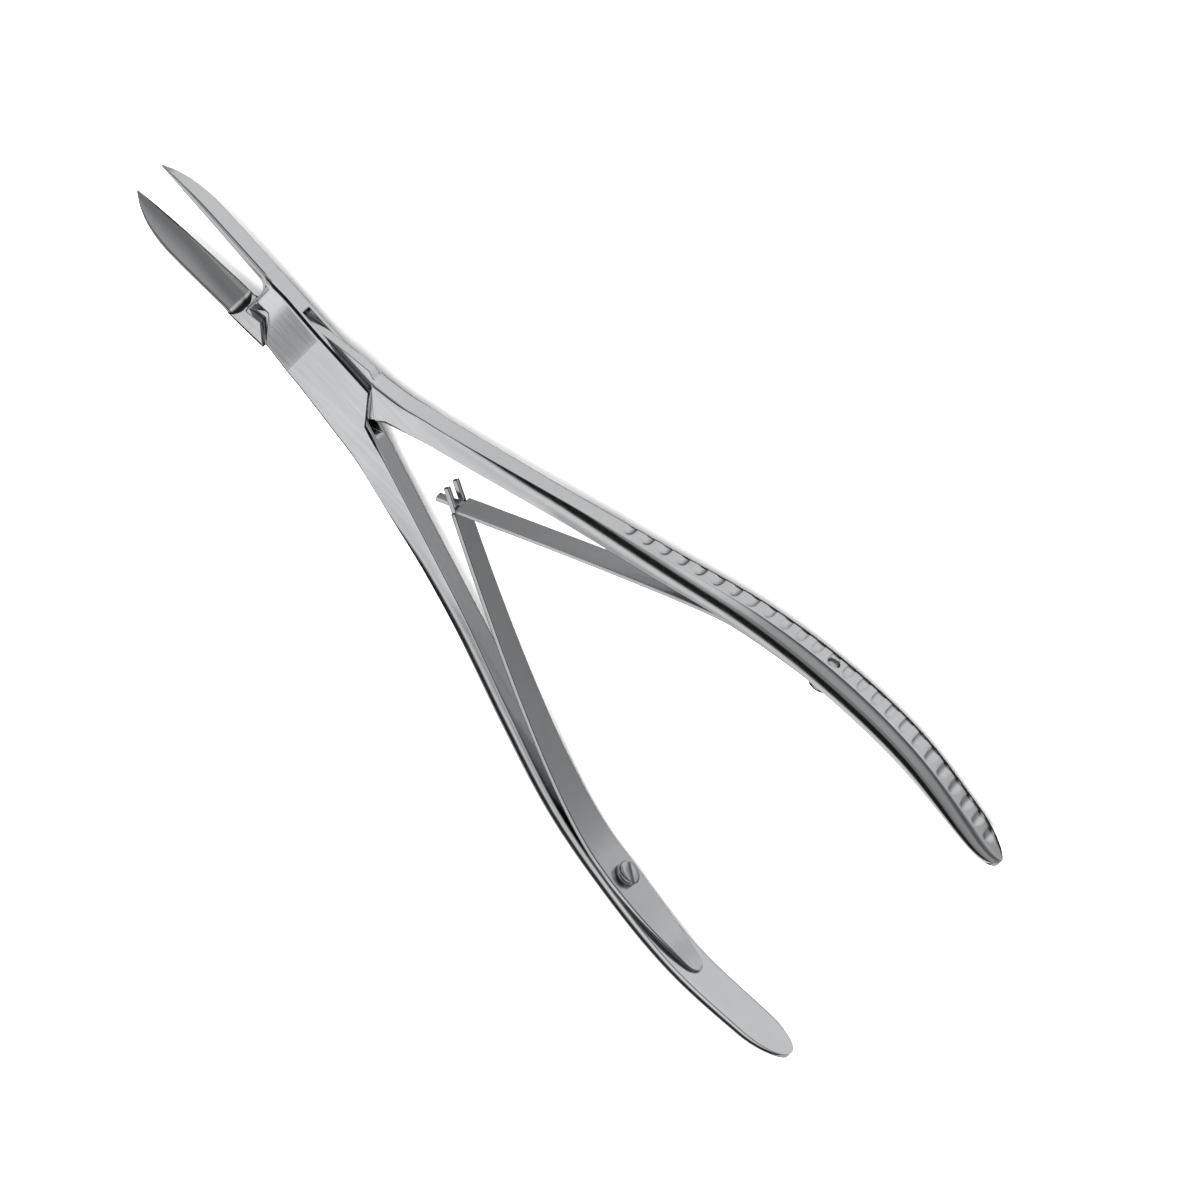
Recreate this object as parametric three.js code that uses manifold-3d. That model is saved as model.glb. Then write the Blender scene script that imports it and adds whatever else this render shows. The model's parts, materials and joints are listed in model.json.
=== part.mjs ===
// Bone cutting forceps: two forged arms in a pass-through box joint, opened by a double leaf spring.
// Millimetres, +Z up. X runs from the blade tips to the handle ends and Y across the handles.
// Every size below is taken from the pivot, with the jaws open. The box arm carries the blade at +Y and the
// handle at -Y. The tenon arm passes through its slot and carries the blade at -Y and the handle at +Y.
import * as THREE from 'three';
import { mergeVertices } from 'three/addons/utils/BufferGeometryUtils.js';
import Module from 'manifold-3d';

const wasm = await Module();
wasm.setup();

// Overall sizes
const TIP_X = -40.1;
const END_X = 130;
const JAW_OPENING = 9.3; // degrees that the tenon arm turns to close the blades
const SHOULDER_TURN = 9.6; // degrees between the shoulders, a little more, so the blades meet first
const GAP = 0.3; // between pieces that touch

// Box joint
const BOX_THICKNESS = 4.5;
const SLOT_HEIGHT = 2.3;
const TENON_THICKNESS = SLOT_HEIGHT - 2 * GAP;
const RIVET_RADIUS = 1.5;
const BOX_FRONT_X = -14.6;
const TENON_FRONT_X = -15.2;
const PLATE_END_X = 18;
const FRONT_SHOULDER = [[-14.6, 0.3], [-11.6, 0.3], [-8.5, -4.1]];
const REAR_SHOULDER = [[8.3, 4.2], [11.7, -0.8]];
const FRONT_WALL = [[-14.6, 0.3], [-7.9, 4.8]];
const REAR_WALL = [[7.9, -4.8], [14.3, -1.7]];
const BLADE_SIDE_EDGE = [[-8, 4.8], [0, 4.5]];
const HANDLE_SIDE_EDGE = [[-3.5, -4.65], [0.5, -5.04], [8.3, -6.1], [14, -6.9]];

// Blades, for the jaw at +Y
const BLADE_GAP = 0.2; // between the edges when closed
const EDGE_Z = curveThrough([[-40.1, -0.96], [-27, -1.64], [-15, -1.85]]);
const RIDGE_Y = curveThrough([
  [-40.1, 3.45], [-38, 4.4], [-35, 5.2], [-31, 5.6], [-27, 5.57], [-14, 5.1],
]);
const RIDGE_Z = curveThrough([
  [-40.1, -0.75], [-38, 0.4], [-35, 1.45], [-31, 2.1], [-27, 2.25], [-14, 2.25],
]);
const UNDERSIDE_Z = curveThrough([[-40.1, -1.2], [-36, -1.9], [-30, -2.25], [-14, -2.25]]);
const HOLLOW_DEPTH = 0.6;
const BLADE_STATIONS = [-40.1, -39.2, -38, -36.5, -35, -33, -31, -27, -21];

// Handles, for the one at +Y
const HANDLE_START_X = 13;
const END_ROUNDING_X = 122;
const INNER_FACE = curveThrough([
  [11.7, 0.8], [24, 5.3], [44, 12.5], [60, 18.7], [76, 24.3], [91, 27.3], [107, 28.9], [122, 28],
  [130, 27],
]);
const THICKNESS = curveThrough([
  [12, 5.3], [24, 4.3], [36, 3.5], [67, 3.3], [83, 3], [107, 2.6], [122, 2.3], [130, 1.4],
]);
const INNER_WIDTH = curveThrough([
  [12, 4.4], [36, 4.6], [44, 4.8], [60, 6.3], [76, 7.8], [91, 8.7], [107, 9.02], [122, 8.7],
]);
const OUTER_WIDTH = curveThrough([
  [12, 4.2], [24, 4], [44, 3.4], [60, 3.9], [83, 4.5], [99, 5.2], [122, 4.8],
]);
const HANDLE_WIDTH = 9;
const SIDE_SHARE = 0.4; // how far through the thickness the full width goes before the back narrows

// Grip notches on the outer faces
const NOTCH_COUNT = 25;
const FIRST_NOTCH_X = 52.4;
const NOTCH_PITCH = 3.05;
const NOTCH_RADIUS = 0.9;
const NOTCH_DEPTH = 0.35;
const NOTCH_LENGTH_SHARE = 0.8;

// Springs
const SPRING_THICKNESS = 0.85;
const FLEX_X = 87; // where the leaf bends away from its clamped foot
const TAIL_X = 110.4;
const HOOK_X = 30.7; // where the two leaves cross
const LEAF_SLOPE_ROOT = 18.5;
const LEAF_SLOPE_TIP = 30;
const LEAF_PAST_HOOK = 3.8;
const LEAF_WIDTH_ROOT = 8;
const LEAF_WIDTH_TIP = 5;
const FOOT_WIDTH = curveThrough([[87, 8], [91, 8.2], [100, 7], [108, 4.6], [110.4, 2.6]]);
const HOOK_ROOM = 1.5; // how far from the crossing the fork's gap and the tongue's shoulders end
const FORK_GAP = 2.2;
const FORK_WIDTH = 4.4;
const TONGUE_WIDTH = 1.6;

// Screws
const SCREW_X = 90.7;
const HEAD_RADIUS = 2.05;
const HEAD_HEIGHT = 1.2;
const SHANK_RADIUS = 1;
const DRIVER_SLOT = { width: 0.6, depth: 0.5 };
const ROUND_SIDES = 24;

// A smooth function through [x, value] points
function curveThrough(points) {
  const slopeAt = (i) => {
    const before = points[Math.max(i - 1, 0)];
    const after = points[Math.min(i + 1, points.length - 1)];
    return (after[1] - before[1]) / (after[0] - before[0]);
  };
  return (x) => {
    let i = 0;
    while (i < points.length - 2 && x > points[i + 1][0]) i += 1;
    const [x0, y0] = points[i];
    const [x1, y1] = points[i + 1];
    const span = x1 - x0;
    const t = (x - x0) / span;
    const rise = y1 - y0;
    const a = slopeAt(i) * span - rise;
    const b = -slopeAt(i + 1) * span + rise;
    return y0 + t * rise + t * (1 - t) * (a * (1 - t) + b * t);
  };
}

const radians = (degrees) => THREE.MathUtils.degToRad(degrees);

function steps(from, to, count) {
  return Array.from({ length: count + 1 }, (_, i) => from + ((to - from) * i) / count);
}

function turned([x, y], degrees) {
  const c = Math.cos(radians(degrees));
  const s = Math.sin(radians(degrees));
  return [x * c - y * s, x * s + y * c];
}

const shifted = (points, dx, dy) => points.map(([x, y]) => [x + dx, y + dy]);

// The point past the end b of the line from a to b
function beyond(a, b, distance) {
  const length = Math.hypot(b[0] - a[0], b[1] - a[1]);
  return [b[0] + ((b[0] - a[0]) / length) * distance, b[1] + ((b[1] - a[1]) / length) * distance];
}

// A closed three.js mesh becomes a solid that can be joined and cut
function solidOf(geometry) {
  geometry.deleteAttribute('normal');
  geometry.deleteAttribute('uv');
  const merged = mergeVertices(geometry);
  const vertProperties = new Float32Array(merged.attributes.position.array);
  const triVerts = new Uint32Array(merged.index.array);
  return new wasm.Manifold(new wasm.Mesh({ numProp: 3, vertProperties, triVerts }));
}

function geometryOf(solid) {
  const mesh = solid.getMesh();
  const geometry = new THREE.BufferGeometry();
  geometry.setAttribute('position', new THREE.BufferAttribute(mesh.vertProperties, 3));
  geometry.setIndex(new THREE.BufferAttribute(mesh.triVerts, 1));
  geometry.computeVertexNormals();
  return geometry;
}

// A flat outline in plan, given height
function prism(outline, low, high) {
  const shape = new THREE.Shape(outline.map(([x, y]) => new THREE.Vector2(x, y)));
  const geometry = new THREE.ExtrudeGeometry(shape, { depth: high - low, bevelEnabled: false });
  geometry.translate(0, 0, low);
  return solidOf(geometry);
}

// A skin over rings of points, closed at both ends and facing out
function loft(rings) {
  const count = rings[0].length;
  const points = rings.flat();
  const triangles = [];
  for (let ring = 0; ring < rings.length - 1; ring += 1) {
    for (let i = 0; i < count; i += 1) {
      const a = ring * count + i;
      const b = ring * count + ((i + 1) % count);
      triangles.push([a, b, b + count], [a, b + count, a + count]);
    }
  }
  const last = (rings.length - 1) * count;
  for (let i = 1; i < count - 1; i += 1) {
    triangles.push([0, i + 1, i], [last, last + i, last + i + 1]);
  }
  const volume = triangles.reduce(
    (sum, [a, b, c]) => sum + points[a].dot(new THREE.Vector3().crossVectors(points[b], points[c])), 0);
  const geometry = new THREE.BufferGeometry().setFromPoints(points);
  geometry.setIndex(triangles.flatMap(([a, b, c]) => (volume > 0 ? [a, b, c] : [a, c, b])));
  return solidOf(geometry);
}

// A round bar along an axis through a point, from one distance along it to another
function bar(radius, point, axis, from, to, sides = ROUND_SIDES) {
  const geometry = new THREE.CylinderGeometry(radius, radius, to - from, sides);
  geometry.translate(0, (from + to) / 2, 0);
  geometry.applyQuaternion(new THREE.Quaternion().setFromUnitVectors(new THREE.Vector3(0, 1, 0), axis));
  geometry.translate(point.x, point.y, point.z);
  return solidOf(geometry);
}

const UP = new THREE.Vector3(0, 0, 1);
const PIVOT = new THREE.Vector3(0, 0, 0);

// The plan of the box arm's middle: its edges and both shoulders
function boxOutline() {
  return [
    [BOX_FRONT_X, RIDGE_Y(BOX_FRONT_X)], ...BLADE_SIDE_EDGE, ...REAR_SHOULDER,
    [PLATE_END_X, -INNER_FACE(PLATE_END_X)],
    [PLATE_END_X, -INNER_FACE(PLATE_END_X) - THICKNESS(PLATE_END_X)],
    ...[...HANDLE_SIDE_EDGE].reverse(), ...[...FRONT_SHOULDER].reverse(),
  ];
}

// The plan of the tenon arm's middle before its shoulders and tenon are cut: the same edges, mirrored
function tenonOutline() {
  const outline = [
    [TENON_FRONT_X, RIDGE_Y(TENON_FRONT_X)], ...BLADE_SIDE_EDGE, REAR_SHOULDER[0], REAR_WALL[1],
    [PLATE_END_X, -INNER_FACE(PLATE_END_X)],
    [PLATE_END_X, -INNER_FACE(PLATE_END_X) - THICKNESS(PLATE_END_X)],
    ...[...HANDLE_SIDE_EDGE].reverse(), FRONT_SHOULDER[2], [TENON_FRONT_X, 1],
  ];
  return outline.map(([x, y]) => [x, -y]);
}

// One blade, hollow ground from its thick back down to the edge; side is +1 or -1 in Y
function blade(side, rootX) {
  const edgeSlope = Math.tan(radians(JAW_OPENING / 2));
  const rings = [...BLADE_STATIONS, rootX].map((x) => {
    const edge = [-x * edgeSlope + BLADE_GAP / 2, EDGE_Z(x)];
    const ridge = [RIDGE_Y(x), RIDGE_Z(x)];
    const width = ridge[0] - edge[0];
    const height = ridge[1] - edge[1];
    const hollow = [edge[0] + width / 2, edge[1] + height / 2 - (HOLLOW_DEPTH * height) / 4];
    const underside = UNDERSIDE_Z(x);
    const section = [[ridge[0], underside], [edge[0] + width / 8, underside], edge, hollow, ridge];
    return section.map(([y, z]) => new THREE.Vector3(x, side * y, z));
  });
  return loft(rings);
}

// One handle: a flat wide inner face, straight sides and a narrower outer face, with a round end
function handle(side) {
  const roundingLength = END_X - END_ROUNDING_X;
  const roundEnd = steps(0, 80, 5).slice(1).map((degrees) => ({
    x: END_ROUNDING_X + (roundingLength * Math.sin(radians(degrees))) / Math.sin(radians(80)),
    share: Math.cos(radians(degrees)),
  }));
  const straight = steps(HANDLE_START_X, END_ROUNDING_X, 22).map((x) => ({ x, share: 1 }));
  const rings = [...straight, ...roundEnd].map(({ x, share }) => {
    const inner = INNER_FACE(x);
    const middle = inner + THICKNESS(x) * SIDE_SHARE;
    const outer = inner + THICKNESS(x);
    const wide = (Math.min(INNER_WIDTH(x), HANDLE_WIDTH) / 2) * share;
    const narrow = (OUTER_WIDTH(x) / 2) * share;
    const section = [
      [inner, -wide], [inner, wide], [middle, wide], [outer, narrow], [outer, -narrow], [middle, -wide],
    ];
    return section.map(([y, z]) => new THREE.Vector3(x, side * y, z));
  });
  return loft(rings);
}

function cutNotches(solid, side) {
  for (let i = 0; i < NOTCH_COUNT; i += 1) {
    const x = FIRST_NOTCH_X + i * NOTCH_PITCH;
    const outer = INNER_FACE(x) + THICKNESS(x);
    const half = (OUTER_WIDTH(x) * NOTCH_LENGTH_SHARE) / 2;
    const centre = new THREE.Vector3(x, side * (outer + NOTCH_RADIUS - NOTCH_DEPTH), 0);
    solid = solid.subtract(bar(NOTCH_RADIUS, centre, UP, -half, half, 12));
  }
  return solid;
}

// Where a spring's screw meets the inner face, and its direction out through the handle
function screwSeat(side) {
  const slope = (INNER_FACE(SCREW_X + 1) - INNER_FACE(SCREW_X - 1)) / 2;
  return {
    point: new THREE.Vector3(SCREW_X, side * INNER_FACE(SCREW_X), 0),
    axis: new THREE.Vector3(-slope, side, 0).normalize(),
  };
}

function drillForScrew(solid, side) {
  const { point, axis } = screwSeat(side);
  return solid.subtract(bar(SHANK_RADIUS + GAP, point, axis, -4, 6));
}

// Box arm: the slot runs right through between two cheeks, from the front wall to the rear wall
function boxArm() {
  const half = BOX_THICKNESS / 2;
  const slot = [
    beyond(FRONT_WALL[1], FRONT_WALL[0], 2), beyond(FRONT_WALL[0], FRONT_WALL[1], 6), [12, 8],
    beyond(REAR_WALL[0], REAR_WALL[1], 3), beyond(REAR_WALL[1], REAR_WALL[0], 5), [-10, -7],
  ];
  const solid = prism(boxOutline(), -half, half)
    .add(handle(-1))
    .add(blade(1, BOX_FRONT_X + GAP))
    .subtract(prism(slot, -SLOT_HEIGHT / 2, SLOT_HEIGHT / 2))
    .subtract(bar(RIVET_RADIUS + GAP, PIVOT, UP, -half - 1, half + 1));
  return drillForScrew(cutNotches(solid, -1), -1);
}

// Tenon arm: thinned between its shoulders, which meet the box arm's own when the blades are shut.
// Each cut is the box arm's outline, turned by the opening angle and moved off by the gap.
function tenonArm() {
  const half = BOX_THICKNESS / 2;
  const open = (points) => points.map((point) => turned(point, SHOULDER_TURN));
  const front = shifted(FRONT_SHOULDER, -GAP / 2, -GAP);
  const rear = shifted([...REAR_SHOULDER, [PLATE_END_X, -INNER_FACE(PLATE_END_X)]], GAP / 2, GAP);
  const betweenShoulders = open([
    [-20, 8], [-20, front[0][1]], ...front, beyond(front[1], front[2], 4), [12, -8],
    rear[2], rear[1], beyond(rear[1], rear[0], 5),
  ]);
  const frontWall = shifted(FRONT_WALL, GAP / 2, -GAP);
  const beforeFrontWall = open([
    [-20, frontWall[0][1]], frontWall[0], beyond(frontWall[0], frontWall[1], 5), [-20, 9],
  ]);
  const rearWall = shifted(REAR_WALL, -GAP / 2, GAP);
  const behindRearWall = open([
    beyond(rearWall[1], rearWall[0], 5), rearWall[1], rear[2], [20, -12], [4, -12],
  ]);
  const solid = prism(tenonOutline(), -half, half)
    .add(handle(1))
    .subtract(prism(betweenShoulders, TENON_THICKNESS / 2, half + 1))
    .subtract(prism(betweenShoulders, -half - 1, -TENON_THICKNESS / 2))
    .subtract(prism(beforeFrontWall, -half - 1, half + 1))
    .subtract(prism(behindRearWall, -half - 1, half + 1))
    .add(blade(-1, TENON_FRONT_X + GAP))
    .subtract(bar(RIVET_RADIUS + GAP, PIVOT, UP, -half - 1, half + 1));
  return drillForScrew(cutNotches(solid, 1), 1);
}

// A spring's clamped foot, which lies along the handle's inner face and tapers to a flat-ended tail
function springFoot(side) {
  const rings = steps(FLEX_X + GAP / 2, TAIL_X, 9).map((x) => {
    const near = INNER_FACE(x) - GAP;
    const far = near - SPRING_THICKNESS;
    const half = FOOT_WIDTH(x) / 2;
    const section = [[near, -half], [near, half], [far, half], [far, -half]];
    return section.map(([y, z]) => new THREE.Vector3(x, side * y, z));
  });
  return drillForScrew(loft(rings), side);
}

// The line of a free leaf, from the foot to where it crosses the other leaf
function leafCurve() {
  const root = new THREE.Vector2(FLEX_X, INNER_FACE(FLEX_X) - GAP - SPRING_THICKNESS / 2);
  const rootSlope = Math.tan(radians(LEAF_SLOPE_ROOT));
  const tipSlope = Math.tan(radians(LEAF_SLOPE_TIP));
  const bendX = (root.y - rootSlope * root.x + tipSlope * HOOK_X) / (tipSlope - rootSlope);
  const bend = new THREE.Vector2(bendX, tipSlope * (bendX - HOOK_X));
  return new THREE.QuadraticBezierCurve(root, bend, new THREE.Vector2(HOOK_X, 0));
}

function leafBlank(side) {
  const curve = leafCurve();
  const along = steps(0, 1, 12).map((t) => ({ point: curve.getPoint(t), tangent: curve.getTangent(t), t }));
  along[0].point.addScaledVector(along[0].tangent, GAP / 2);
  const hook = along[along.length - 1];
  const tip = hook.point.clone().addScaledVector(hook.tangent, LEAF_PAST_HOOK);
  const rings = [...along, { ...hook, point: tip }].map(({ point, tangent, t }) => {
    const half = THREE.MathUtils.lerp(LEAF_WIDTH_ROOT, LEAF_WIDTH_TIP, t) / 2;
    const across = new THREE.Vector2(-tangent.y, tangent.x).multiplyScalar(SPRING_THICKNESS / 2);
    return [[1, -half], [1, half], [-1, half], [-1, -half]].map(([k, z]) => (
      new THREE.Vector3(point.x + k * across.x, side * (point.y + k * across.y), z)));
  });
  return loft(rings);
}

// A block round the hook end of a leaf, between two heights
function hookBlock(side, low, high) {
  const curve = leafCurve();
  const hook = curve.getPoint(1);
  const tangent = curve.getTangent(1);
  const across = new THREE.Vector2(-tangent.y, tangent.x);
  const corner = (along, off) => hook.clone().addScaledVector(tangent, along).addScaledVector(across, off);
  const corners = [corner(-HOOK_ROOM, -2), corner(6, -2), corner(6, 2), corner(-HOOK_ROOM, 2)];
  return prism(corners.map(({ x, y }) => [x, side * y]), low, high);
}

// The fork leaf ends in two prongs, and the tongue leaf in one tongue that passes between them
function forkLeaf(side) {
  return leafBlank(side)
    .subtract(hookBlock(side, -FORK_GAP / 2, FORK_GAP / 2))
    .subtract(hookBlock(side, FORK_WIDTH / 2, LEAF_WIDTH_TIP))
    .subtract(hookBlock(side, -LEAF_WIDTH_TIP, -FORK_WIDTH / 2));
}

function tongueLeaf(side) {
  return leafBlank(side)
    .subtract(hookBlock(side, TONGUE_WIDTH / 2, LEAF_WIDTH_TIP))
    .subtract(hookBlock(side, -LEAF_WIDTH_TIP, -TONGUE_WIDTH / 2));
}

// A cheese head screw with a driver slot, along +Y with the handle's inner face at the origin
function springScrew() {
  const alongY = new THREE.Vector3(0, 1, 0);
  const headBase = -(GAP + SPRING_THICKNESS + GAP);
  const headTop = headBase - HEAD_HEIGHT;
  const slot = new THREE.BoxGeometry(2 * HEAD_RADIUS + 1, 2 * DRIVER_SLOT.depth, DRIVER_SLOT.width);
  slot.rotateY(radians(40));
  slot.translate(0, headTop, 0);
  return bar(HEAD_RADIUS, PIVOT, alongY, headTop, headBase)
    .add(bar(SHANK_RADIUS, PIVOT, alongY, headBase - HEAD_HEIGHT / 4, THICKNESS(SCREW_X) - NOTCH_DEPTH))
    .subtract(solidOf(slot));
}

const forceps = new THREE.Group();
forceps.position.set(-(TIP_X + END_X) / 2, 0, HANDLE_WIDTH / 2);

function addPiece(name, solid, color, roughness) {
  const material = new THREE.MeshStandardMaterial({ color, roughness, metalness: 1 });
  const piece = new THREE.Mesh(geometryOf(solid), material);
  piece.name = name;
  forceps.add(piece);
  return piece;
}

function addScrew(name, side) {
  const { point, axis } = screwSeat(side);
  const screw = addPiece(name, springScrew(), 0x9ea2a5, 0.3);
  screw.position.copy(point);
  screw.quaternion.setFromUnitVectors(new THREE.Vector3(0, 1, 0), axis);
}

const BOX_SIDE = -1;
const TENON_SIDE = 1;
addPiece('box_arm', boxArm(), 0xb9bcbe, 0.22);
addPiece('tenon_arm', tenonArm(), 0xb9bcbe, 0.22);
addPiece('pivot_rivet', bar(RIVET_RADIUS, PIVOT, UP, -BOX_THICKNESS / 2, BOX_THICKNESS / 2), 0xb4b7b9, 0.25);
addPiece('fork_spring_foot', springFoot(BOX_SIDE), 0xa6a9ab, 0.25);
addPiece('fork_spring_leaf', forkLeaf(BOX_SIDE), 0xa6a9ab, 0.25);
addPiece('tongue_spring_foot', springFoot(TENON_SIDE), 0xa6a9ab, 0.25);
addPiece('tongue_spring_leaf', tongueLeaf(TENON_SIDE), 0xa6a9ab, 0.25);
addScrew('fork_spring_screw', BOX_SIDE);
addScrew('tongue_spring_screw', TENON_SIDE);

export default forceps;
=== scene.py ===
"""Bone cutting forceps in polished steel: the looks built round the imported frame."""

import json
import math

import bmesh
import bpy
from mathutils import Matrix, Vector


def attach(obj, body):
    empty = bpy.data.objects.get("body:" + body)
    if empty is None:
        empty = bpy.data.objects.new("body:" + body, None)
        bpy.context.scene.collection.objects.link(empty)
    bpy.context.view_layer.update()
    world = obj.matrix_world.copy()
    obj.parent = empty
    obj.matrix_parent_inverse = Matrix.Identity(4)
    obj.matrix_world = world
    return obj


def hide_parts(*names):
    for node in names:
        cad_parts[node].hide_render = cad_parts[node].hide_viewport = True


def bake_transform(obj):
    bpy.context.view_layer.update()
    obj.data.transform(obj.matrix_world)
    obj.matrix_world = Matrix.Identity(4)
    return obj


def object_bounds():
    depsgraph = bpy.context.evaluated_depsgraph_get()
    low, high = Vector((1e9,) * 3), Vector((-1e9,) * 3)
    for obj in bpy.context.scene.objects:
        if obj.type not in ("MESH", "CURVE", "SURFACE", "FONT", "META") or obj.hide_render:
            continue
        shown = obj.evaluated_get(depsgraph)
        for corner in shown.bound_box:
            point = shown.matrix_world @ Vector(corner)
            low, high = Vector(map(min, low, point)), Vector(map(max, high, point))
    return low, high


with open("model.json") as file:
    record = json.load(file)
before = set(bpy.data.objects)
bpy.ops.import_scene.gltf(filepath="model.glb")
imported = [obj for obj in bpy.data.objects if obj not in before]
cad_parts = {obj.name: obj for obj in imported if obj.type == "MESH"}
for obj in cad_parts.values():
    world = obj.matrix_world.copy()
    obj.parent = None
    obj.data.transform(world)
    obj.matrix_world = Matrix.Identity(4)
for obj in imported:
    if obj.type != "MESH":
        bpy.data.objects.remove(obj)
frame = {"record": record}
scene = bpy.context.scene
size_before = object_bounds()

# Lengths are millimetres from the jaw pivot until a mesh is finished: x toward the handle ends, z up.
JOINTS = {joint["name"]: joint for joint in frame["record"]["behaviour"]["joints"]}
PIVOT = Vector(JOINTS["jaw_pivot"]["pos_m"])
OPENING = -JOINTS["jaw_pivot"]["range_deg"][0]
MM = 0.001
UP = Vector((0, 0, 1))
KIND = {-1: "box", 1: "tenon"}

# The blades, from their tips to the box
TIP_X = -40.1
EDGE_GAP = 0.03
EDGE_RADIUS = 0.03
LEAST_BLADE = 0.05
BLADE_CORNER = 0.3
RIDGE_FACET = 0.65
HOLLOW_DEPTH = 0.055
EDGE_LAND = 0.24
LAND_LIFT = 0.35
BLADE_RINGS = 60

# The round step from a blade up to the box, and the rim where it ends
RIM_X = {"box": -14.6, "tenon": -14.8}
STEP_START = 2.6
STEP_REACH = 2.0
LEAST_REACH = 0.9
STEP_RINGS = 10
RIM_BOW = 1.3
RIM_BOW_FROM_Y = 2.2
RIM_BOW_WIDTH = 2.9
RIM_DROP = 0.06
RIM_RUN = 0.08

# The box: two cheeks with a slot between them, and the tenon that turns in the slot
HALF_BOX = 2.25
HALF_SLOT = 1.15
PAST_BOX = 4
CLEARANCE = 0.08
SHOULDER_TURN = 9.6
CORNER = 0.24
FLAT_REACH = 2.4
FACET = 0.75
LEAN = {"box": 0.0, "tenon": 0.22}
RIVET_RADIUS = 1.5
RIVET_PLAY = 0.004
RIVET_SIDES = 96
FRONT_SHOULDER = [(-14.6, 0.3), (-11.6, 0.3), (-8.5, -4.1)]
REAR_SHOULDER = [(8.3, 4.2), (11.7, -0.8)]
FRONT_WALL = [(-14.6, 0.3), (-7.9, 4.8)]
REAR_WALL = [(7.9, -4.8), (14.3, -1.7)]
TENON_STOCK_FRONT = [(-15.2, -0.5), (-8.5, 3.4)]
TENON_STOCK_REAR = [(8.3, -4.2), (13.4, 2.2)]

# The ground hollow in the box arm's upper cheek
DISH_FROM_X = -3.0
DISH_RUN = 7.5
DISH_RISE_X = -11.2
DISH_END_X = -14.4
DISH_DEPTH = 0.26

# The handles
HANDLE_FROM_X = 13.4
HANDLE_STEP = 1.5
HANDLE_RINGS = 25
HANDLE_CORNER = 0.4
JOINED_TO_X = 18
ROUND_FROM_X = 121.0
END_X = 130.0
END_RINGS = (0.3, 0.45, 0.57, 0.67, 0.75, 0.82, 0.875, 0.92, 0.955, 0.98, 0.993, 0.999)

# Springs and their screws
STRIP = 0.85
SEAT = 0.06
LEAF_FROM_X = {-1: 87.0, 1: 74.0}
HALF_AT_ROOT = {-1: 4.0, 1: 3.0}
FOOT_HALF = {-1: 4.1, 1: 3.0}
FOOT_FROM_X = 87
FOOT_TO_X = 110.4
TAIL_X = 110.6
TAIL_ROUND = 1.6
TAIL_THICK = 0.4
TAIL_TAPER = 7
HOOK_X = 30.7
HOOK_ANGLE = 30
HALF_AT_HOOK = 2.5
PAST_HOOK = 3.6
TIP_RINGS = 7
FOOT_RINGS = 50
FORK_GAP = 2.2
FORK_WIDTH = 4.3
TONGUE_WIDTH = 1.7
PAST_STRIP = 6
SCREW_X = {-1: 91.2, 1: 89.9}
HEAD_RADIUS = 2.05
HEAD_HEIGHT = 1.2
SHANK_RADIUS = 1.0
SHANK_SHORT = 0.55
DRIVER_SLOT = (3, 0.3, 0.5)
DRIVER_TURN = 40
ARM_HOLE = 1.06
STRIP_HOLE = 1.04
HOLE_SPAN = (-6.0, 8.0)

# Grip notches
NOTCHES = 25
FIRST_NOTCH_X = 52.4
NOTCH_PITCH = 3.05
NOTCH_HALF = 0.85
NOTCH_DEPTH = 0.19
NOTCH_FROM_TOP = 0.3
NOTCH_POINT = 1.7
LEAST_NOTCH = 0.02
NOTCH_RINGS = (-1.3, -0.86, -0.84, -0.74, -0.58, -0.3, 0, 0.3, 0.58, 0.74, 0.84, 0.86, 1.3)
LAST_NOTCH_RING_X = 126.4

# The material index that a cutter's faces carry
CUT_FACE = 1


def curve_through(points):
    """A smooth function through (x, value) points."""

    def slope_at(i):
        before = points[max(i - 1, 0)]
        after = points[min(i + 1, len(points) - 1)]
        return (after[1] - before[1]) / (after[0] - before[0])

    def value(x):
        i = 0
        while i < len(points) - 2 and x > points[i + 1][0]:
            i += 1
        (x0, y0), (x1, y1) = points[i], points[i + 1]
        t = (x - x0) / (x1 - x0)
        rise = y1 - y0
        a = slope_at(i) * (x1 - x0) - rise
        b = -slope_at(i + 1) * (x1 - x0) + rise
        return y0 + t * rise + t * (1 - t) * (a * (1 - t) + b * t)

    return value


def line_through(points):
    """Straight lines through (x, value) points."""

    def value(x):
        i = 0
        while i < len(points) - 2 and x > points[i + 1][0]:
            i += 1
        (x0, y0), (x1, y1) = points[i], points[i + 1]
        t = min(max((x - x0) / (x1 - x0), 0.0), 1.0)
        return y0 + t * (y1 - y0)

    return value


# Outlines as functions of x. An arm's handle lies on one side of the X axis and its blade on the other,
# so the handle's distances from that axis go one way and the blade's the other.
edge_z = curve_through([(-40.1, -0.8), (-27, -1.3), (-15, -1.6)])
ridge_y = curve_through([(-40.1, 3.45), (-38, 4.4), (-35, 5.2), (-31, 5.6), (-27, 5.57), (-14, 5.1)])
ridge_z = curve_through([(-40.1, -0.75), (-38, 0.4), (-35, 1.45), (-31, 2.1), (-27, 2.25), (-14, 2.25)])
underside_z = curve_through([(-40.1, -1.2), (-36, -1.9), (-30, -2.25), (-14, -2.25)])
blade_side = curve_through([(-14, 5.1), (-8, 4.8), (0, 4.5), (8.3, 4.2)])
handle_side = {
    "box": curve_through([(-8.5, 4.1), (-3.5, 4.65), (0.5, 5.04), (8.3, 6.1), (14, 6.9), (18, 7.95)]),
    "tenon": curve_through([
        (-8.5, 3.4), (-3.5, 4.5), (0.5, 5.25), (4.4, 5.9), (6.2, 6.2), (7.4, 5.75), (9.5, 6.05),
        (12.2, 6.55), (16.2, 7.55), (18, 8.1),
    ]),
}
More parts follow.
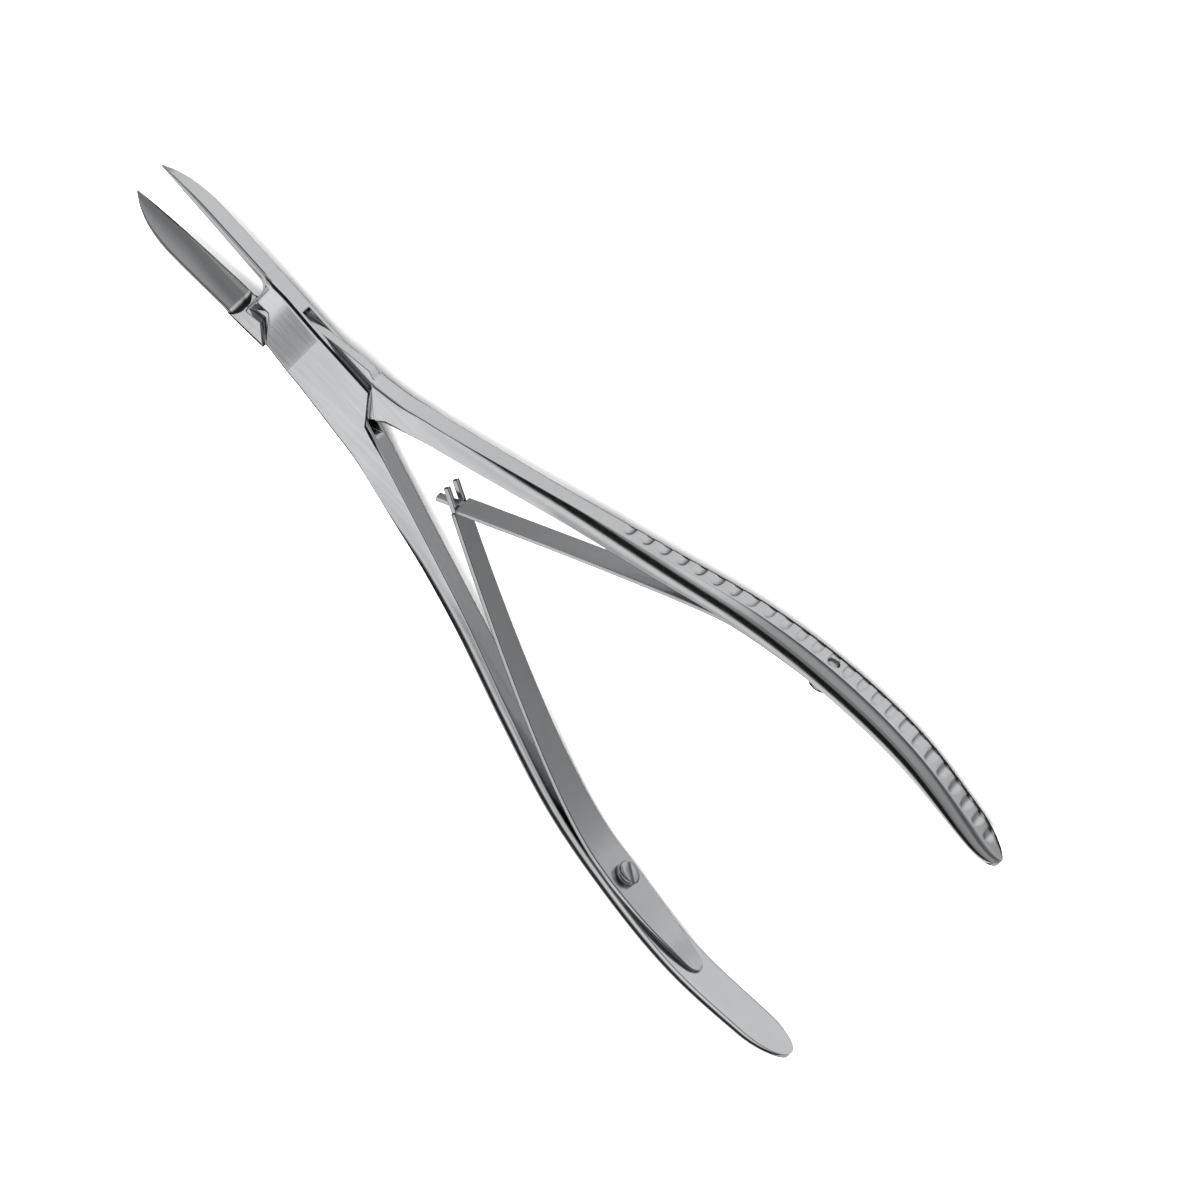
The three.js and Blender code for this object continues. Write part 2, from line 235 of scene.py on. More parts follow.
inner_face = {
    "box": curve_through([
        (11.7, 0.8), (24, 5.3), (44, 12.5), (60, 18.7), (76, 24.3), (91, 27.3), (107, 28.9), (122, 28),
        (130, 27),
    ]),
    "tenon": curve_through([
        (11.7, 1.2), (16.2, 3.3), (20.1, 4.95), (24, 6.3), (44, 13.5), (60, 19.2), (76, 24.9), (91, 28.1),
        (107, 29.2), (122, 27.9), (130, 26.7),
    ]),
}
thickness = {
    "box": curve_through([
        (12, 5.3), (24, 4.3), (36, 3.5), (67, 3.3), (83, 3), (107, 2.6), (122, 2.3), (130, 1.4),
    ]),
    "tenon": curve_through([
        (12, 5.2), (16.2, 4.3), (20, 3.75), (24, 3.7), (36, 3.6), (59, 3.6), (75, 3.3), (91, 3.0),
        (107, 2.7), (122, 1.9), (130, 1.2),
    ]),
}
inner_width = curve_through([
    (12, 4.5), (24, 4.5), (36, 4.6), (44, 4.8), (60, 6.3), (76, 7.8), (91, 8.7), (107, 9.0), (122, 8.7),
])
outer_width = {
    "box": curve_through([
        (12, 4.5), (24, 4.1), (44, 3.4), (60, 3.9), (83, 4.5), (99, 5.2), (122, 4.8),
    ]),
    "tenon": curve_through([
        (12, 4.5), (24, 4.1), (44, 3.4), (60, 3.5), (75, 3.8), (91, 3.9), (107, 4.4), (122, 3.7),
    ]),
}
foot_width = curve_through([(87, 8), (91, 8.2), (100, 7), (108, 4.6), (110.4, 3.2)])


def smooth(low, high, value):
    t = min(max((value - low) / (high - low), 0.0), 1.0)
    return t * t * (3 - 2 * t)


def mix(a, b, t):
    return a + (b - a) * t


def turned(points, degrees):
    c, s = math.cos(math.radians(degrees)), math.sin(math.radians(degrees))
    return [(x * c - y * s, x * s + y * c) for x, y in points]


def shifted(points, dx, dy):
    return [(x + dx, y + dy) for x, y in points]


def beyond(a, b, distance):
    length = math.hypot(b[0] - a[0], b[1] - a[1])
    return (b[0] + (b[0] - a[0]) / length * distance, b[1] + (b[1] - a[1]) / length * distance)


# ---------------------------------------------------------------- meshes

TOO_SHORT = 0.004
ARM_BEVEL = 0.1
SPRING_BEVEL = 0.12
SCREW_BEVEL = 0.05
BROKEN_FROM = math.radians(35)
SHARP_FROM = math.radians(45)


def add_object(name, bm):
    bmesh.ops.recalc_face_normals(bm, faces=bm.faces)
    mesh = bpy.data.meshes.new(name)
    bm.to_mesh(mesh)
    bm.free()
    piece = bpy.data.objects.new(name, mesh)
    scene.collection.objects.link(piece)
    return piece


def skin(name, rings, cutter=False):
    """A closed skin over rings of points. A cutter's faces are marked, to find the edges it leaves."""
    bm = bmesh.new()
    loops = [[bm.verts.new(point) for point in ring] for ring in rings]
    count = len(loops[0])
    for here, there in zip(loops, loops[1:]):
        for i in range(count):
            j = (i + 1) % count
            bm.faces.new((here[i], here[j], there[j], there[i]))
    bm.faces.new(loops[0])
    bm.faces.new(loops[-1])
    for face in bm.faces:
        face.material_index = CUT_FACE if cutter else 0
    piece = add_object(name, bm)
    for slot_name in ("blank", "cut"):
        marker = bpy.data.materials.get(slot_name) or bpy.data.materials.new(slot_name)
        piece.data.materials.append(marker)
    return piece


def prism(outline, low, high):
    return skin("prism", [[(x, y, z) for x, y in outline] for z in (low, high)], cutter=True)


def turning(name, profile, origin, axis, sides=64, cutter=False):
    """A solid of revolution: profile holds (radius, distance along the axis)."""
    frame_of = axis.to_track_quat("Z", "Y").to_matrix()
    rings = []
    for radius, along in profile:
        ring = []
        for i in range(sides):
            angle = 2 * math.pi * i / sides
            local = Vector((radius * math.cos(angle), radius * math.sin(angle), along))
            ring.append(origin + frame_of @ local)
        rings.append(ring)
    return skin(name, rings, cutter)


def bake(piece):
    """Makes the piece's modifiers part of its mesh."""
    made = bpy.data.meshes.new_from_object(piece.evaluated_get(bpy.context.evaluated_depsgraph_get()))
    old = piece.data
    piece.modifiers.clear()
    piece.data = made
    bpy.data.meshes.remove(old)


def cut(piece, *cutters):
    for cutter in cutters:
        hole = piece.modifiers.new("cut", "BOOLEAN")
        hole.operation = "DIFFERENCE"
        hole.solver = "EXACT"
        hole.material_mode = "INDEX"
        hole.object = cutter
    bpy.context.view_layer.update()
    bake(piece)
    for cutter in cutters:
        bpy.data.objects.remove(cutter)


def merge_flats(piece, height):
    """Joins the faces of the flat cheeks at that height, up and down, into one face each."""
    bm = bmesh.new()
    bm.from_mesh(piece.data)
    for side in (-height, height):
        flat = [f for f in bm.faces if all(abs(v.co.z - side) < 1e-4 for v in f.verts)]
        if flat:
            bmesh.ops.dissolve_faces(bm, faces=flat, use_verts=False)
    bm.to_mesh(piece.data)
    bm.free()


def dress(piece, body, finish_and_cut_shade, bevel):
    """Breaks the edges that cuts left, brings the mesh to metres, and gives it its materials and body: the
    first material goes on its own faces, the second on the faces that cuts left, which on the arms is a
    near-black painted shade for the joint.
    """
    bm = bmesh.new()
    bm.from_mesh(piece.data)
    bmesh.ops.remove_doubles(bm, verts=bm.verts, dist=TOO_SHORT)
    bmesh.ops.dissolve_degenerate(bm, dist=TOO_SHORT, edges=bm.edges)
    weight = bm.edges.layers.float.new("bevel_weight_edge")
    for edge in bm.edges:
        by_cut = any(face.material_index == CUT_FACE for face in edge.link_faces)
        if by_cut and len(edge.link_faces) == 2 and edge.calc_face_angle() > BROKEN_FROM:
            edge[weight] = 1.0
    bm.to_mesh(piece.data)
    bm.free()
    if bevel:
        broken = piece.modifiers.new("broken edges", "BEVEL")
        broken.width = bevel
        broken.segments = 2
        broken.limit_method = "WEIGHT"
        broken.use_clamp_overlap = False
        broken.loop_slide = False
        broken.miter_outer = "MITER_ARC"
        bpy.context.view_layer.update()
        bake(piece)
    for polygon in piece.data.polygons:
        polygon.use_smooth = True
    piece.data.set_sharp_from_angle(angle=SHARP_FROM)
    piece.data.transform(Matrix.Translation(PIVOT) @ Matrix.Scale(MM, 4))
    piece.data.materials.clear()
    for slot_material in finish_and_cut_shade:
        piece.data.materials.append(slot_material)
    weighted = piece.modifiers.new("even shading", "WEIGHTED_NORMAL")
    weighted.keep_sharp = True
    weighted.weight = 80
    if body:
        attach(piece, body)
    return piece


# ---------------------------------------------------------------- steel


def steel(name, colour, rough, grain, marks):
    """Bright metal with a fine grain along its length, soft marks and slightly uneven polish."""
    material = bpy.data.materials.new(name)
    material.use_nodes = True
    tree = material.node_tree
    nodes, links = tree.nodes, tree.links
    shader = nodes["Principled BSDF"]
    shader.inputs["Metallic"].default_value = 1.0
    place = nodes.new("ShaderNodeTexCoord")

    def noise(scale, stretch, detail):
        mapping = nodes.new("ShaderNodeMapping")
        mapping.inputs["Scale"].default_value = stretch
        links.new(place.outputs["Object"], mapping.inputs["Vector"])
        texture = nodes.new("ShaderNodeTexNoise")
        texture.inputs["Scale"].default_value = scale
        texture.inputs["Detail"].default_value = detail
        links.new(mapping.outputs["Vector"], texture.inputs["Vector"])
        return texture.outputs["Fac"]

    def ranged(value, low, high):
        spread = nodes.new("ShaderNodeMapRange")
        spread.inputs["From Min"].default_value = 0.3
        spread.inputs["From Max"].default_value = 0.7
        spread.inputs["To Min"].default_value = low
        spread.inputs["To Max"].default_value = high
        links.new(value, spread.inputs["Value"])
        return spread.outputs["Result"]

    lines = noise(260, (0.35, 7.0, 7.0), 6.0)
    cloud = noise(70, (1.0, 1.0, 1.0), 3.0)
    specks = noise(1500, (1.0, 1.0, 1.0), 2.0)

    tint = nodes.new("ShaderNodeMix")
    tint.data_type = "RGBA"
    tint.inputs["A"].default_value = (*[c * (1 - marks) for c in colour], 1)
    tint.inputs["B"].default_value = (*[min(1, c * (1 + marks)) for c in colour], 1)
    links.new(ranged(cloud, 0.0, 1.0), tint.inputs["Factor"])
    links.new(tint.outputs["Result"], shader.inputs["Base Color"])

    add = nodes.new("ShaderNodeMath")
    add.operation = "ADD"
    links.new(ranged(lines, rough - grain, rough + grain), add.inputs[0])
    links.new(ranged(specks, -0.15 * grain, 0.15 * grain), add.inputs[1])
    links.new(add.outputs["Value"], shader.inputs["Roughness"])

    bump = nodes.new("ShaderNodeBump")
    bump.inputs["Strength"].default_value = 0.06
    bump.inputs["Distance"].default_value = 0.00002
    links.new(lines, bump.inputs["Height"])
    links.new(bump.outputs["Normal"], shader.inputs["Normal"])
    return material


SLOTS = {entry["slot"]: entry["base_color"] for entry in frame["record"]["materials"]}
forged = steel("forged steel", SLOTS["forged_steel"], 0.15, 0.04, 0.03)
# Near-black steel for the faces that cuts leave in the joint: painted shade for the slot, shoulders and
# holes, not a colour of the steel.
joint_shade_steel = steel("painted joint shade steel", (0.05, 0.05, 0.052), 0.45, 0.08, 0.15)
sprung = steel("spring steel", SLOTS["spring_steel"], 0.2, 0.04, 0.04)
turned_steel = steel("screw steel", SLOTS["screw_steel"], 0.2, 0.04, 0.05)


# ---------------------------------------------------------------- arms

SIDE_POINTS = (7, 12, 15, 9)
CORNER_POINTS = 4
MOST_ROUNDING = 0.35
STRAIGHT = (0, 0, 0, 0)
ROUND = (0, 0, 0, 0)
UPPER_FACET = (0, 0, 0, FACET)


def crown(t):
    """A handle's swelling past the straight line, from the outer face at 0 to the inner face at 1."""
    s = 1 - t
    return s - 0.45 * s**2 - 0.55 * s**5


def hollow(t):
    """A blade's hollow grind: nothing at both ends, and 1 in the middle."""
    return 4 * t * (1 - t)


def section(corners, radii, bulges=STRAIGHT, shape=crown, land=(0, 0), flat_reach=1.0, flatness=ROUND):
    """One ring in (across, up): four sides bulged up or down, with rounded corners between them.
    The upper side may start with a narrow land, given as its share of the side and how far it lifts.
    flat_reach stretches the corners' rounding over the upper and lower sides, and flatness turns the
    rounding of each corner into a facet."""
    reach = (flat_reach, 1.0, flat_reach, 1.0)

    def on_side(i, t):
        (y0, z0), (y1, z1) = corners[i], corners[(i + 1) % 4]
        share, lift = land if i == 2 else (0.0, 0.0)
        past = max(t - share, 0.0) / (1 - share)
        bulge = bulges[i] * shape(past if i == 2 else 1 - past)
        raised = lift * (min(t / share, 1.0) if share else 0.0) * (1 - past)
        return (mix(y0, y1, t), mix(z0, z1, t) + bulge + raised)

    def length(i):
        (y0, z0), (y1, z1) = corners[i], corners[(i + 1) % 4]
        return max(math.hypot(y1 - y0, z1 - z0), 1e-6)

    points = []
    for i in range(4):
        before = (i + 3) % 4
        back = min(radii[i] * reach[before] / length(before), MOST_ROUNDING)
        ahead = min(radii[i] * reach[i] / length(i), MOST_ROUNDING)
        arc = (on_side(before, 1 - back), corners[i], on_side(i, ahead))
        for k in range(CORNER_POINTS + 1):
            t = k / CORNER_POINTS
            weights = ((1 - t) ** 2, 2 * t * (1 - t), t * t)
            curved = [sum(w * p[a] for w, p in zip(weights, arc)) for a in (0, 1)]
            facet = [mix(arc[0][a], arc[2][a], t) for a in (0, 1)]
            points.append(tuple(mix(c, f, flatness[i]) for c, f in zip(curved, facet)))
        end = 1 - min(radii[(i + 1) % 4] * reach[i] / length(i), MOST_ROUNDING)
        for k in range(1, SIDE_POINTS[i] + 1):
            points.append(on_side(i, mix(ahead, end, k / (SIDE_POINTS[i] + 1))))
    return points


def blade_edge(x):
    """How far the cutting edge is from the X axis in the open pose."""
    return -x * math.tan(math.radians(OPENING / 2)) + EDGE_GAP


def blade_section(x):
    edge = blade_edge(x)
    ridge = max(ridge_y(x), edge + LEAST_BLADE)
    wide = ridge - edge
    high = ridge_z(x) - edge_z(x)
    below = underside_z(x)
    corners = [(-ridge, below), (-edge - wide / 8, below), (-edge, edge_z(x)), (-ridge, ridge_z(x))]
    small = min(BLADE_CORNER, wide / 7)
    radii = (small, small, EDGE_RADIUS, min(RIDGE_FACET, wide / 5))
    bulges = (0, 0, -HOLLOW_DEPTH * high, 0)
    land = EDGE_LAND * smooth(-32, -15, x)
    return section(corners, radii, bulges, hollow, (land, LAND_LIFT * land), flatness=UPPER_FACET)


def handle_section(kind, x, share):
    inner = inner_face[kind](x)
    outer = inner + thickness[kind](x)
    wide = inner_width(x) / 2 * share
    narrow = outer_width[kind](x) / 2 * share
    corners = [(inner, -wide), (outer, -narrow), (outer, narrow), (inner, wide)]
    soft = mix(CORNER, HANDLE_CORNER, smooth(14, 60, x)) * (0.4 + 0.6 * share)
    radii = (soft, soft, soft * 0.55, soft * 0.45)
    swell = wide - narrow
    stretch = mix(FLAT_REACH, 1.0, smooth(13, 24, x))
    return section(corners, radii, (-swell, 0, swell, 0), flat_reach=stretch)


def box_section(low, high, lean=0.0, soft=0.0, top=HALF_BOX):
    corners = [(low, -HALF_BOX), (high, -HALF_BOX), (high - lean, top), (low, top)]
    radii = (CORNER, CORNER + soft, CORNER, CORNER)
    return section(corners, radii, flat_reach=FLAT_REACH, flatness=UPPER_FACET)


def notch_depth(x, z, top):
    """How deep the grip notches go at a place on the outer face: open below, rounded above."""
    i = round((x - FIRST_NOTCH_X) / NOTCH_PITCH)
    if not 0 <= i < NOTCHES:
        return 0.0
    from_centre = abs(x - FIRST_NOTCH_X - i * NOTCH_PITCH)
    over = max(z - top + NOTCH_FROM_TOP + NOTCH_POINT, 0.0) / NOTCH_POINT
    half = NOTCH_HALF * math.sqrt(max(1 - over * over, 0.0))
    if from_centre >= half or half < LEAST_NOTCH:
        return 0.0
    radius = (NOTCH_HALF**2 + NOTCH_DEPTH**2) / (2 * NOTCH_DEPTH)
    drop = math.sqrt(radius**2 - from_centre**2) - math.sqrt(radius**2 - half**2)
    return max(drop, 0.0)


def handle_stations():
    """Where a handle's rings lie, and the share of its full width at each: less than 1 on the round end."""
    xs = [HANDLE_FROM_X + HANDLE_STEP * i for i in range(HANDLE_RINGS)]
    for i in range(NOTCHES):
        centre = FIRST_NOTCH_X + i * NOTCH_PITCH
        xs += [centre + d for d in NOTCH_RINGS if centre + d < LAST_NOTCH_RING_X]
    rounding = END_X - ROUND_FROM_X

    def share_at(x):
        t = (x - ROUND_FROM_X) / rounding
        return math.sqrt(1 - t**2.5) if t > 0 else 1.0

    last = xs[-1]
    toward_end = [mix(ROUND_FROM_X, END_X, t) for t in END_RINGS]
    xs += [x for x in toward_end if x > last + 0.15]
    return [(x, share_at(x)) for x in xs]


def root_step(rim):
    """Rings up the round step from the hollow blade to the flat box, and over its rim."""

    def rim_at(y):
        return rim - RIM_BOW * (max(-y - RIM_BOW_FROM_Y, 0.0) / RIM_BOW_WIDTH) ** 2

    start = rim - STEP_START
    blade = blade_section(start)
    flat = box_section(-ridge_y(rim), -blade_edge(rim) - EDGE_GAP)
    rings = []
    for k in range(STEP_RINGS + 1):
        angle = math.radians(90 * k / STEP_RINGS)
        rise = 1 - math.cos(angle)
        ring = []
        for (y0, z0), (y1, z1) in zip(blade, flat):
            y, z = mix(y0, y1, rise), mix(z0, z1, rise)
            reach = STEP_REACH * math.sqrt(min(abs(z1 - z0), STEP_REACH) / STEP_REACH)
            if k == STEP_RINGS:
                z = min(z, HALF_BOX - RIM_DROP)
            x = rim_at(y) - max(reach, LEAST_REACH) * (1 - math.sin(angle))
            y *= ridge_y(x) / mix(ridge_y(start), ridge_y(rim), rise)
            ring.append((x, y, z))
        rings.append(ring)
    rings.append([(rim_at(y) + RIM_RUN, y, z) for y, z in flat])
    return rings


def dish(kind, x):
    """How far the ground hollow at the front of the box arm's upper cheek lies below the flat."""
    if kind != "box" or x >= DISH_FROM_X:
        return 0.0
    t = min((DISH_FROM_X - x) / DISH_RUN, 1.0)
    return DISH_DEPTH * mix(t, smooth(0, 1, t), 0.5) * smooth(DISH_END_X, DISH_RISE_X, x)


def mirrored(points):
    return [(x, -y) for x, y in points]


# Where the rings lie along the box, closer together at its corners
FRONT_RINGS = {
    "box": (-14.0, -13.5, -13, -12.5, -12, -11.6, -10.8, -10, -9.2, -8.5),
    "tenon": (-13.2, -12, -11, -10, -9.2, -8.5),
}
MIDDLE_RINGS = (-7.8, -7.1, -6.4, -5.7, -5, -4.3, -3.7, -3.2, -3, -2, -1, 0, 1.2, 2.4, 3.6, 4.8, 6, 7.2)
REAR_RINGS = {
    "box": (8.3, 9, 9.8, 10.6, 11.2, 11.7),
    "tenon": (8.3, 9, 9.8, 10.6, 11.2, 12, 12.7),
}
FRONT_HIGH = {
    "box": line_through(mirrored(FRONT_SHOULDER)),
    "tenon": line_through(TENON_STOCK_FRONT),
}
REAR_LOW = {
    "box": line_through(mirrored(REAR_SHOULDER)),
    "tenon": line_through(TENON_STOCK_REAR),
}


def blade_rings(kind):
    end = RIM_X[kind] - STEP_START - 1
    rings = []
    for i in range(BLADE_RINGS):
        x = mix(TIP_X, end, (i / (BLADE_RINGS - 1)) ** 1.25)
        rings.append([(x, y, z) for y, z in blade_section(x)])
    return rings


def box_rings(kind):
    outside = handle_side[kind]
    full_lean = LEAN[kind]
    rings = []

    def add(x, low, high, lean=0.0):
        ring = box_section(low, high, lean, 2 * lean, HALF_BOX - dish(kind, x))
        rings.append([(x, y, z) for y, z in ring])

    for x in FRONT_RINGS[kind]:
        add(x, -blade_side(x), FRONT_HIGH[kind](x))
    for x in MIDDLE_RINGS:
        add(x, -blade_side(x), outside(x), full_lean * smooth(2, 8, x))
    for x in REAR_RINGS[kind]:
        add(x, REAR_LOW[kind](x), outside(x), full_lean)
    return rings


def handle_rings(kind):
    lean = LEAN[kind]
    rings = []
    for x, share in handle_stations():
        outer = inner_face[kind](x) + thickness[kind](x)
        top = outer_width[kind](x) / 2 * share
        shape = handle_section(kind, x, share)
        if x < JOINED_TO_X:
            flat = box_section(inner_face[kind](x), handle_side[kind](x), lean, 2 * lean)
            keep = 1 - smooth(13, JOINED_TO_X, x)
            shape = [(mix(a[0], b[0], keep), mix(a[1], b[1], keep)) for a, b in zip(shape, flat)]
        ring = []
        for y, z in shape:
            near_outside = smooth(outer - 0.5, outer - 0.1, y)
            ring.append((x, y - near_outside * notch_depth(x, z, top), z))
        rings.append(ring)
    return rings


def arm(name, kind):
    side = -1 if kind == "box" else 1
    rings = blade_rings(kind) + root_step(RIM_X[kind]) + box_rings(kind) + handle_rings(kind)
    blank = skin(name, [[(x, side * y, z) for x, y, z in ring] for ring in rings])
    merge_flats(blank, HALF_BOX)
    return blank


def seat(side):
    """The middle of a spring screw's seat on the handle's inner face, and the way out through the handle."""
    face = inner_face[KIND[side]]
    x = SCREW_X[side]
    slope = (face(x + 1) - face(x - 1)) / 2
    point = Vector((x, side * face(x), 0))
    return point, Vector((-slope, side, 0)).normalized()


def drill(side, radius):
    point, axis = seat(side)
    return turning("drill", [(radius, along) for along in HOLE_SPAN], point, axis, 40, cutter=True)


def rivet_hole():
    radius = RIVET_RADIUS + RIVET_PLAY
    return turning("hole", [(radius, -5), (radius, 5)], Vector(), UP, RIVET_SIDES)


def make_box_arm():
    blank = arm("box_arm_steel", "box")
    slot = [
        beyond(FRONT_WALL[1], FRONT_WALL[0], 2), beyond(FRONT_WALL[0], FRONT_WALL[1], 6), (12, 8),
        beyond(REAR_WALL[0], REAR_WALL[1], 3), beyond(REAR_WALL[1], REAR_WALL[0], 5), (-10, -7),
    ]
    cut(blank, prism(slot, -HALF_SLOT, HALF_SLOT), rivet_hole(), drill(-1, ARM_HOLE))
    return blank


def make_tenon_arm():
    """The shoulders are the box's own outline, turned to where the box stands when the jaws are closed."""
    blank = arm("tenon_arm_steel", "tenon")
    half = HALF_SLOT - CLEARANCE
    gap = CLEARANCE
    front = shifted(FRONT_SHOULDER, -gap / 2, -gap)
    rear = shifted(REAR_SHOULDER + [(JOINED_TO_X, -inner_face["box"](JOINED_TO_X))], gap / 2, gap)
    between = turned([
        (front[0][0], 8), *front, beyond(front[1], front[2], 4), (12, -8),
        rear[2], rear[1], beyond(rear[1], rear[0], 5),
    ], SHOULDER_TURN)
    wall = shifted(FRONT_WALL, gap / 2, -gap)
    before_front = turned([
        (front[0][0], wall[0][1]), wall[0], beyond(wall[0], wall[1], 5), (front[0][0], 9),
    ], SHOULDER_TURN)
    back = shifted(REAR_WALL, -gap / 2, gap)
    behind_rear = turned([
        beyond(back[1], back[0], 5), back[1], rear[2], (20, -12), (4, -12),
    ], SHOULDER_TURN)
    cut(
        blank, prism(between, half, PAST_BOX), prism(between, -PAST_BOX, -half),
        prism(before_front, -PAST_BOX, PAST_BOX), prism(behind_rear, -PAST_BOX, PAST_BOX),
        rivet_hole(), drill(1, ARM_HOLE),
    )
    return blank


box_arm = make_box_arm()
tenon_arm = make_tenon_arm()
# Each arm's cut faces in the joint get the near-black steel: painted shade in the recesses between the arms.
dress(box_arm, "box_arm_body", (forged, joint_shade_steel), ARM_BEVEL)
dress(tenon_arm, "tenon_arm_body", (forged, joint_shade_steel), ARM_BEVEL)
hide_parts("box_arm")
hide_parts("tenon_arm")

rivet = turning(
    "rivet_steel",
    [(RIVET_RADIUS, -HALF_BOX), (RIVET_RADIUS, HALF_BOX)],
    Vector(), UP, RIVET_SIDES,
)
dress(rivet, "box_arm_body", (forged, joint_shade_steel), bevel=0)
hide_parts("pivot_rivet")


# ---------------------------------------------------------------- springs


def leaf_line(side, steps):
    """Points, directions and half widths of a leaf from its root to past the hook, drawn for +Y."""
    face = inner_face[KIND[side]]
    start = LEAF_FROM_X[side]
    root = Vector((start, face(start) - SEAT - STRIP / 2))
    slope = (face(start + 0.5) - face(start - 0.5)) * 0.98
    tip_slope = math.tan(math.radians(HOOK_ANGLE))
    bend_x = (root.y - slope * root.x + tip_slope * HOOK_X) / (tip_slope - slope)
    bend_x = min(max(bend_x, HOOK_X + 8), start - 6)
    from_hook = tip_slope * (bend_x - HOOK_X)
    from_root = root.y - slope * (start - bend_x)
    bend = Vector((bend_x, mix(from_hook, from_root, 0.5)))
    hook = Vector((HOOK_X, 0))
    line = []
    for i in range(steps + 1):
        t = i / steps
        point = root * (1 - t) ** 2 + bend * (2 * t * (1 - t)) + hook * t * t
        way = ((bend - root) * (1 - t) + (hook - bend) * t).normalized()
        narrowing = smooth(0, 1, t) * 0.4 + t * 0.6
        line.append((point, way, mix(HALF_AT_ROOT[side], HALF_AT_HOOK, narrowing)))
    way = line[-1][1]
    for i in range(1, TIP_RINGS + 1):
        line.append((hook + way * PAST_HOOK * i / TIP_RINGS, way, HALF_AT_HOOK))
    return line


def strip_section(point, way, half, thick, side):
    """One ring of a spring strip: a thin upright rectangle with round corners, square to the way it runs."""
    across = Vector((-way.y, way.x))
    ring = []
    soft = min(0.2, thick * 0.35, half * 0.5)
    for cy, cz, start in ((1, 1, 0), (-1, 1, 90), (-1, -1, 180), (1, -1, 270)):
        for k in range(5):
            angle = math.radians(start + 22.5 * k)
            off = cy * (thick / 2 - soft) + soft * math.cos(angle)
            up = cz * (half - soft) + soft * math.sin(angle)
            spot = point + across * off
            ring.append((spot.x, side * spot.y, up))
    return ring


def strip(name, side):
    """A spring from its tail, along its foot on the handle, and out along its leaf to past the hook."""
    face = inner_face[KIND[side]]
    leaf_from = LEAF_FROM_X[side]
    rings = []
    for i in range(FOOT_RINGS):
        x = mix(TAIL_X, leaf_from, (i / FOOT_RINGS) ** 1.15)
        past = TAIL_X - x
        half = mix(HALF_AT_ROOT[side], FOOT_HALF[side], smooth(leaf_from, 90, x))
        if x > FOOT_FROM_X:
            half = min(half, foot_width(min(x, FOOT_TO_X)) / 2)
        if past < TAIL_ROUND:
            half *= math.sqrt(max(1 - (1 - past / TAIL_ROUND) ** 2, 0.02))
        thick = mix(TAIL_THICK, STRIP, smooth(0, TAIL_TAPER, past))
        slope = face(x + 0.5) - face(x - 0.5)
        way = -Vector((1, slope)).normalized()
        point = Vector((x, face(x) - SEAT - thick / 2))
        rings.append(strip_section(point, way, half, thick, side))
    for point, way, half in leaf_line(side, 70):
        rings.append(strip_section(point, way, half, STRIP, side))
    return skin(name, rings)


def hook_block(side, low, high):
    """A cutter over the end of a leaf, from just before the hook outward, between two heights."""
    steps = 40
    hook, way = leaf_line(side, steps)[steps][:2]
    across = Vector((-way.y, way.x))
    outline = []
    for along, off in ((-0.7, -3), (8, -3), (8, 3), (-0.7, 3)):
        spot = hook + way * along + across * off
        outline.append((spot.x, side * spot.y))
    return prism(outline, low, high)


fork = strip("fork_spring", -1)
cut(
    fork, hook_block(-1, -FORK_GAP / 2, FORK_GAP / 2), hook_block(-1, FORK_WIDTH / 2, PAST_STRIP),
    hook_block(-1, -PAST_STRIP, -FORK_WIDTH / 2), drill(-1, STRIP_HOLE),
)
tongue = strip("tongue_spring", 1)
cut(
    tongue, hook_block(1, TONGUE_WIDTH / 2, PAST_STRIP), hook_block(1, -PAST_STRIP, -TONGUE_WIDTH / 2),
    drill(1, STRIP_HOLE),
)

# Each spring gets its steel, the parts it stands for are hidden, and its mesh keeps its place in the world.
# The bodies listed for each leaf are not used, and neither is its bend range, from just past its foot to
# about the middle of its length.
for piece, root_body, leaf_body, side, kind, bend_from_x, bend_to_x in (
    (fork, "box_arm_body", "fork_leaf_body", -1, "fork", 86.5, 60),
    (tongue, "tenon_arm_body", "tongue_leaf_body", 1, "tongue", 73.5, 50),
):
    dress(piece, None, (sprung, sprung), SPRING_BEVEL)
    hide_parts(kind + "_spring_foot", kind + "_spring_leaf")
    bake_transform(piece)


def screw(name, side):
    """A slotted screw with a low cheese head on the foot and a plain shank through the handle."""
    point, axis = seat(side)
    base = -(SEAT + STRIP + 0.03)
    top = base - HEAD_HEIGHT
    through = thickness[KIND[side]](SCREW_X[side]) - SHANK_SHORT
    profile = [
        (0.3, top), (HEAD_RADIUS - 0.3, top), (HEAD_RADIUS - 0.12, top + 0.05), (HEAD_RADIUS, top + 0.2),
        (HEAD_RADIUS, base - 0.06), (HEAD_RADIUS - 0.06, base), (SHANK_RADIUS, base),
        (SHANK_RADIUS, through - 0.2), (0.85, through), (0.2, through + 0.04),
    ]
    piece = turning(name, profile, point, axis)
    along, across, deep = DRIVER_SLOT
    facing = axis.to_track_quat("Z", "Y").to_matrix() @ Matrix.Rotation(math.radians(DRIVER_TURN), 3, "Z")
    outline = ((-along, -across), (along, -across), (along, across), (-along, across))
    slot = skin("slot", [
        [point + facing @ Vector((x, y, z)) for x, y in outline] for z in (top - 1, top + deep)
    ], cutter=True)
    cut(piece, slot)
    return piece


for name, side, node, body in (
    ("fork_screw_steel", -1, "fork_spring_screw", "box_arm_body"),
    ("tongue_screw_steel", 1, "tongue_spring_screw", "tenon_arm_body"),
):
    made = screw(name, side)
    dress(made, body, (turned_steel, turned_steel), SCREW_BEVEL)
    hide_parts(node)


# ---------------------------------------------------------------- floor, light and camera

FLOOR_SIZE = 60.0
LIGHT_SIZE = 2.6
LIGHT_HEIGHT = 1.2
LIGHT_POWER = 100


